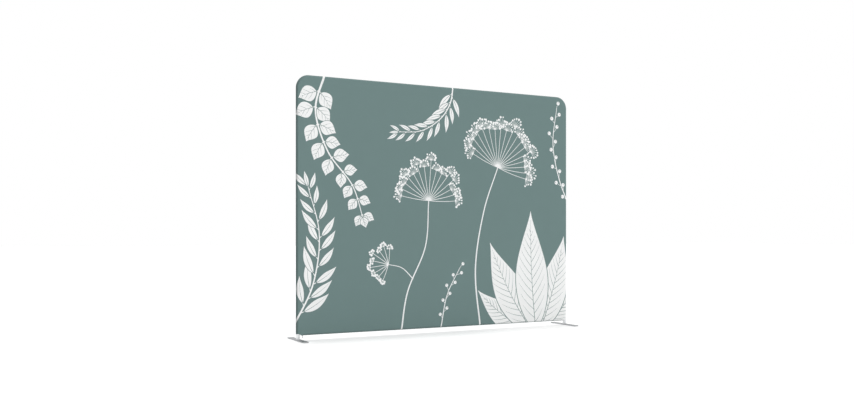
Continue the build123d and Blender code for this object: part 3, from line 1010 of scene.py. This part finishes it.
class DIVIDER_OT_posts(bpy.types.Operator):
    """Lower uprights: the tube under the sleeve, its drawn-down upper end and the bottom rail's stub"""

    bl_idname = "divider.posts"
    bl_label = "Posts"

    def execute(self, context):
        settings = context.scene.divider_frame
        finish, sides = tube_finish("post_aluminium", settings.tube), settings.sides
        foot, shoulder, neck, tip = post_low.z, post_high.z - 0.063, 0.003, post_high.z
        stub_length = 0.0755
        for name, hand in HANDS.items():
            x = hand * POST_X
            centre = (x, 0, (shoulder + foot) / 2)
            post = rod(f"post_{name}", TUBE_RADIUS, shoulder - foot, centre, sides, end_fill_type="NOTHING")
            pick(post, "EDGE", lambda e: all(v.co.z > shoulder - 1e-5 for v in e.verts))
            extrude((0, 0, neck), PLUG_RADIUS / TUBE_RADIUS, (x, 0, shoulder))
            extrude((0, 0, tip - shoulder - neck))
            stub = rod(
                "stub", PLUG_RADIUS, stub_length, (x - hand * stub_length / 2, 0, BOTTOM_RAIL_Z), sides,
                rotation=(0, math.pi / 2, 0), end_fill_type="NOTHING",
            )  # fmt: skip
            for tube in (post, stub):
                modify(tube, "SOLIDIFY", thickness=TUBE_WALL, offset=-1, use_even_offset=True)
            cut(stub, rod("bore", TUBE_RADIUS - TUBE_WALL, 0.2, (x, 0, BOTTOM_RAIL_Z), sides))
            cut(post, stub, "UNION")
            dress(soften(post, 0.0003, angle=50), finish, "frame", "tube_aluminium", f"lower_upright_{name}")
        return {"FINISHED"}


class DIVIDER_OT_feet(bpy.types.Operator):
    """Coated foot plates, their rubber pads and the countersunk screws up into the posts"""

    bl_idname = "divider.feet"
    bl_label = "Feet"

    def execute(self, context):
        settings = context.scene.divider_frame
        coat = coated_finish("foot_silver_coat", settings.plate)
        rubber = moulded_finish("foot_pad_rubber", settings.pad, 0.7, 0.0012)
        zinc = steel_finish("foot_screw_zinc", settings.screw, 0.3)
        for name, hand in HANDS.items():
            plate = self.plate(f"foot_{name}_plate", hand * POST_X, settings)
            dress(plate, coat, f"foot_{name}", "foot_steel", f"foot_plate_{name}")
            pads = join(f"foot_{name}_pads", [self.pad(hand * POST_X, end) for end in SIDES.values()])
            dress(soften(pads, 0.0003, angle=60), rubber, f"foot_{name}", "pad_rubber", f"foot_pads_{name}")
        screws = join("foot_screws_socketed", [self.screw(hand * POST_X) for hand in HANDS.values()])
        dress(soften(screws, 0.00015, 1, 50), zinc, "frame", "screw_steel", "foot_bolts")
        return {"FINISHED"}

    def plate(self, name, x, settings):
        """Flat bar with rounded corners, countersunk from below."""
        wide, low, high = plate_high.x - plate_low.x, plate_low.z, plate_high.z
        plate = block(name, (x - wide / 2, plate_low.y, low), (x + wide / 2, plate_high.y, high))
        round_corners(plate, settings.plate_corner, 8)
        bevel(plate, settings.plate_edge, 3, 50)
        cut(plate, rod("hole", 0.0042, 3 * (high - low), (x, 0, low), 48))
        cut(plate, taper("sink", 0.0082, 0.0042, 0.004, (x, 0, low + 0.002), 48))
        return shaded(plate, 30)

    def pad(self, x, end):
        """Square pad near one end of a foot, with a groove round its underside."""
        length = 0.04
        back, front = sorted((end * pads_high.y, end * (pads_high.y - length)))
        pad = block("pad", (x - length / 2, back, pads_low.z), (x + length / 2, front, pads_high.z))
        round_corners(pad, 0.004, 6)
        pick(pad, "FACE", lambda f: f.normal.z < -0.9)
        bpy.ops.mesh.inset(thickness=0.003)
        bpy.ops.mesh.inset(thickness=0.0012)
        bpy.ops.transform.translate(value=(0, 0, 0.0006))
        return activate(pad)

    def screw(self, x):
        """Countersunk screw with a hexagon socket."""
        low, high = screws_low.z, screws_high.z
        screw = rod("screw", 0.0039, high - low - 0.003, (x, 0, (high + low + 0.003) / 2), 40)
        cut(screw, taper("head", 0.008, 0.0039, 0.0041, (x, 0, low + 0.00205), 40), "UNION")
        return cut(screw, rod("socket", 0.0029, 0.006, (x, 0, low), 6))


class DIVIDER_OT_springs(bpy.types.Operator):
    """Leaf springs under the snap buttons"""

    bl_idname = "divider.springs"
    bl_label = "Leaf springs"

    thick, wide, flat, nose = 0.0008, 0.008, 0.013, 0.0052

    def execute(self, context):
        finish = steel_finish("clip_spring_steel", context.scene.divider_frame.spring, 0.32)
        length, tall = spring_high.x - spring_low.x, (spring_high.z - spring_low.z - self.thick) / 2
        model = self.leaf(length, tall)
        for joint in frame["record"]["behaviour"]["joints"]:
            if not joint["name"].startswith("press_"):
                continue
            name = joint["name"].replace("press_", "clip_spring_")
            out, centre = -Vector(joint["axis"]), sum(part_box(name), Vector()) / 2
            along = Vector((1, 0, 0)) if abs(out.z) > 0.5 else Vector((0, 0, 1))
            if (sum(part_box(joint["child"]), Vector()) / 2 - centre).dot(along) < 0:
                along.negate()
            mouth = centre - along * length / 2
            leaf = linked(name + "_bent", model.data.copy())
            leaf.data.name = leaf.name
            turn = Matrix((along, out.cross(along), out)).transposed().to_4x4()
            leaf.data.transform(Matrix.Translation(mouth) @ turn)
            leaf.data.materials.append(finish)
            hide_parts(name)
            still, moved = mouth + out * (self.nose / 2), mouth + out * (tall - self.thick / 2)
            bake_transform(leaf)
            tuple(still)
            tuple(moved)
        bpy.data.meshes.remove(model.data)
        return {"FINISHED"}

    def leaf(self, length, tall):
        """V-shaped strip that opens along X, with its upper leaf's end flat under the button."""
        middle = (length - self.flat / 2, 0, tall)
        leaf = settle(start(bpy.ops.mesh.primitive_plane_add, "leaf", size=self.wide, location=middle))
        edit(leaf)
        bpy.ops.transform.resize(value=(self.flat / self.wide, 1, 1), center_override=middle)
        pick(leaf, "VERT", lambda v: v.co.x > length - 1e-5)
        bpy.ops.mesh.bevel(offset=0.002, segments=4, affect="VERTICES")
        pick(leaf, "EDGE", lambda e: all(v.co.x < length - self.flat + 1e-5 for v in e.verts))
        slope, steps = length - self.flat - self.thick / 2, 8
        for _ in range(steps):
            extrude((-slope / steps, 0, (self.nose / 2 - tall) / steps))
        extrude((0, 0, -self.nose / 2))
        modify(leaf, "MIRROR", use_axis=(False, False, True), merge_threshold=1e-5)
        modify(leaf, "SOLIDIFY", thickness=self.thick, offset=0, use_even_offset=True)
        edit(leaf)
        bpy.ops.mesh.normals_make_consistent()
        return soften(leaf, 0.00012, 1)


class DIVIDER_OT_frame(bpy.types.Operator):
    """Finishes of the tubes and buttons that stay as they were built"""

    bl_idname = "divider.frame"
    bl_label = "Hidden frame"

    def execute(self, context):
        settings = context.scene.divider_frame
        finishes = {
            "tube_aluminium": tube_finish("rail_aluminium", settings.tube),
            "button_steel": steel_finish("snap_button_steel", settings.button, 0.14, 0.02),
        }
        for part in frame["record"]["subparts"]:
            node, slot = frame["nodes"][part["node"]], part["material_slot"]
            if slot in finishes and not node.hide_render:
                node.data.materials.clear()
                node.data.materials.append(finishes[slot])
        return {"FINISHED"}


class DIVIDER_OT_stage(bpy.types.Operator):
    """White floor that keeps the wall's soft shadow, soft lamps, and the camera"""

    bl_idname = "divider.stage"
    bl_label = "Stage"

    def execute(self, context):
        settings, scene = context.scene.divider_stage, context.scene
        floor = start(bpy.ops.mesh.primitive_plane_add, "floor", size=90)
        finish = Finish("floor_white", (0.7, 0.7, 0.7), Roughness=0.9, Specular_IOR_Level=0.0)
        lit = Signal(finish, finish.shader.outputs[0])
        glow = finish.add("Emission", {}, {"Strength": settings.floor})
        glowing = finish.add("AddShader", {}, {0: lit, 1: glow})
        seen = finish.add("MixShader", {}, {0: finish.shown_rays(), 1: lit, 2: glowing})
        finish.link(seen, finish.tree.nodes["Material Output"].inputs["Surface"])
        floor.data.materials.append(finish.material)

        scene.world = scene.world or bpy.data.worlds.new("studio")
        scene.world.use_nodes = True
        sky = Nodes(scene.world.node_tree)
        background = sky.tree.nodes["Background"].inputs
        background["Color"].default_value = (1, 1, 1, 1)
        sky.link(sky.shown_rays() * (1 - settings.sky) + settings.sky, background["Strength"])

        lamps = (
            ("key_lamp", settings.key, 40, (-0.75, 0.85, -0.17)),
            ("top_lamp", settings.top, 13, (0.0, -0.12, -1)),
            ("fill_lamp", settings.fill, 60, (-0.3, -0.9, -0.15)),
        )
        for name, strength, spread, aim in lamps:
            lamp = bpy.data.lights.new(name, "SUN")
            lamp.energy, lamp.angle = strength, math.radians(spread)
            holder = linked(name, lamp)
            holder.rotation_euler = Vector(aim).to_track_quat("-Z", "Y").to_euler()
            holder.visible_glossy = False  # metal shows the white room instead of a lamp's disc

        camera = linked("camera", bpy.data.cameras.new("camera"))
        camera.data.lens, camera.data.sensor_width, camera.data.shift_y = settings.lens, 36, 27.5 / 854
        camera.location, camera.rotation_euler = (-3.478, -6.297, 0.812), (math.pi / 2, 0, -settings.turn)
        scene.camera = camera
        scene.view_settings.view_transform = "Standard"
        return {"FINISHED"}


class DIVIDER_PT_panel(bpy.types.Panel):
    """Lists the divider's settings and its building steps"""

    bl_idname = "DIVIDER_PT_panel"
    bl_label = "Fabric room divider"
    bl_space_type = "VIEW_3D"
    bl_region_type = "UI"
    bl_category = "Divider"

    def draw(self, context):
        for name, group in SETTINGS.items():
            box = self.layout.box()
            box.label(text=group.__doc__.strip("."))
            for setting in group.__annotations__:
                box.prop(getattr(context.scene, name), setting)
        for step in STEPS:
            self.layout.operator(step.bl_idname)


STEPS = (
    DIVIDER_OT_sleeve, DIVIDER_OT_hem, DIVIDER_OT_tapes, DIVIDER_OT_teeth, DIVIDER_OT_slider, DIVIDER_OT_pull,
    DIVIDER_OT_posts, DIVIDER_OT_feet, DIVIDER_OT_springs, DIVIDER_OT_frame, DIVIDER_OT_stage,
)  # fmt: skip


def register():
    for group in (*SETTINGS.values(), *STEPS, DIVIDER_PT_panel):
        bpy.utils.register_class(group)
    for name, group in SETTINGS.items():
        setattr(bpy.types.Scene, name, PointerProperty(type=group))


def unregister():
    for name in SETTINGS:
        delattr(bpy.types.Scene, name)
    for group in (DIVIDER_PT_panel, *reversed(STEPS), *reversed(SETTINGS.values())):
        bpy.utils.unregister_class(group)


def main():
    register()
    bpy.ops.divider.sleeve()
    bpy.ops.divider.hem()
    bpy.ops.divider.tapes()
    bpy.ops.divider.teeth()
    bpy.ops.divider.slider()
    bpy.ops.divider.pull()
    bpy.ops.divider.posts()
    bpy.ops.divider.feet()
    bpy.ops.divider.springs()
    bpy.ops.divider.frame()
    bpy.ops.divider.stage()


if __name__ == "__main__":
    main()
